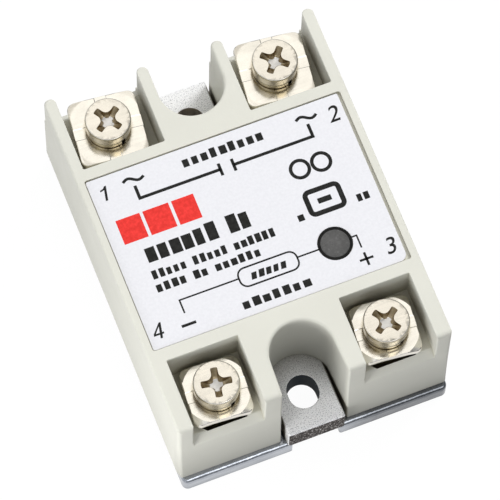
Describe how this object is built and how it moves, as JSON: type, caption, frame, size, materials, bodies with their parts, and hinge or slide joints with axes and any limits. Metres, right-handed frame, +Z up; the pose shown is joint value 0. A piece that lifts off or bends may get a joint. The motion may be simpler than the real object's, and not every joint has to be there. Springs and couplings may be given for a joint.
{
  "type": "solid state relay",
  "caption": "Panel mount block relay with screw terminals at both ends, a flat label, an indicator window and a metal base with open-ended mounting holes.",
  "frame": {"origin": "centre of the mounting face, under the middle of the body", "axes": "+X across the body towards terminals 2 and 3, +Y along the body towards the load terminals, +Z up from the mounting face"},
  "size_m": [0.0448, 0.0602, 0.023],
  "materials": {
    "housing_plastic": "fine matte moulded, light warm grey",
    "plated_steel": "bright plated with a rolled edge",
    "cast_aluminium": "granular bare casting",
    "label_film": "white printed film",
    "window_lens": "smoked grey lens with a black rim",
    "contact_metal": "nickel plated",
    "screw_metal": "warm bright nickel plated",
    "ceramic": "white alumina, smooth",
    "copper": "bare copper",
    "silicon": "polished dark silicon",
    "tinned_lead": "tinned",
    "potting": "dark cured resin",
    "board_laminate": "green solder mask",
    "moulded_package": "black moulded",
    "resistor_body": "tan lacquer",
    "power_resistor_body": "grey-blue cement coat",
    "capacitor_body": "red dipped case",
    "led_lens": "red clear lens"
  },
  "bodies": {
    "relay_body": {"housing": "housing_plastic", "base_plate": "plated_steel", "heat_spreader": "cast_aluminium", "label": "label_film", "led_window": "window_lens", "terminal_contact_1": "contact_metal", "terminal_contact_2": "contact_metal", "terminal_contact_3": "contact_metal", "terminal_contact_4": "contact_metal", "ceramic_substrate": "ceramic", "copper_pads": "copper", "thyristor_chips": "silicon", "cathode_clips": "copper", "gate_pins": "tinned_lead", "ac_strap_1": "copper", "ac_strap_2": "copper", "dc_lead_plus": "tinned_lead", "dc_lead_minus": "tinned_lead", "potting_compound": "potting", "circuit_board": "board_laminate", "optocoupler": "moulded_package", "input_transistor": "moulded_package", "input_resistors": "resistor_body", "gate_resistors": "resistor_body", "snubber_resistor": "power_resistor_body", "snubber_capacitor": "capacitor_body", "indicator_led": "led_lens"},
    "terminal_1_clamp": {"clamp_plate_1": "screw_metal", "lock_washer_1": "screw_metal"},
    "terminal_1_screw": {"terminal_screw_1": "screw_metal"},
    "terminal_2_clamp": {"clamp_plate_2": "screw_metal", "lock_washer_2": "screw_metal"},
    "terminal_2_screw": {"terminal_screw_2": "screw_metal"},
    "terminal_3_clamp": {"clamp_plate_3": "screw_metal", "lock_washer_3": "screw_metal"},
    "terminal_3_screw": {"terminal_screw_3": "screw_metal"},
    "terminal_4_clamp": {"clamp_plate_4": "screw_metal", "lock_washer_4": "screw_metal"},
    "terminal_4_screw": {"terminal_screw_4": "screw_metal"}
  },
  "joints": [
    {"name": "terminal_1_lift", "type": "slide", "parent": "relay_body", "child": "terminal_1_clamp", "axis": [0, 0, 1], "range_m": [0, 0.0035]},
    {"name": "terminal_1_turn", "type": "hinge", "parent": "terminal_1_clamp", "child": "terminal_1_screw", "pos_m": [-0.01385, 0.02365, 0.02], "axis": [0, 0, 1], "range_deg": [0, 1800]},
    {"name": "terminal_2_lift", "type": "slide", "parent": "relay_body", "child": "terminal_2_clamp", "axis": [0, 0, 1], "range_m": [0, 0.0035]},
    {"name": "terminal_2_turn", "type": "hinge", "parent": "terminal_2_clamp", "child": "terminal_2_screw", "pos_m": [0.01385, 0.02365, 0.02], "axis": [0, 0, 1], "range_deg": [0, 1800]},
    {"name": "terminal_3_lift", "type": "slide", "parent": "relay_body", "child": "terminal_3_clamp", "axis": [0, 0, 1], "range_m": [0, 0.0035]},
    {"name": "terminal_3_turn", "type": "hinge", "parent": "terminal_3_clamp", "child": "terminal_3_screw", "pos_m": [0.01385, -0.02255, 0.02], "axis": [0, 0, 1], "range_deg": [0, 1800]},
    {"name": "terminal_4_lift", "type": "slide", "parent": "relay_body", "child": "terminal_4_clamp", "axis": [0, 0, 1], "range_m": [0, 0.0035]},
    {"name": "terminal_4_turn", "type": "hinge", "parent": "terminal_4_clamp", "child": "terminal_4_screw", "pos_m": [-0.01385, -0.02255, 0.02], "axis": [0, 0, 1], "range_deg": [0, 1800]}
  ],
  "couplings": [
    {"joint": "terminal_1_turn", "follows": "terminal_1_lift", "rad_per_m": 8976},
    {"joint": "terminal_2_turn", "follows": "terminal_2_lift", "rad_per_m": 8976},
    {"joint": "terminal_3_turn", "follows": "terminal_3_lift", "rad_per_m": 8976},
    {"joint": "terminal_4_turn", "follows": "terminal_4_lift", "rad_per_m": 8976}
  ]
}
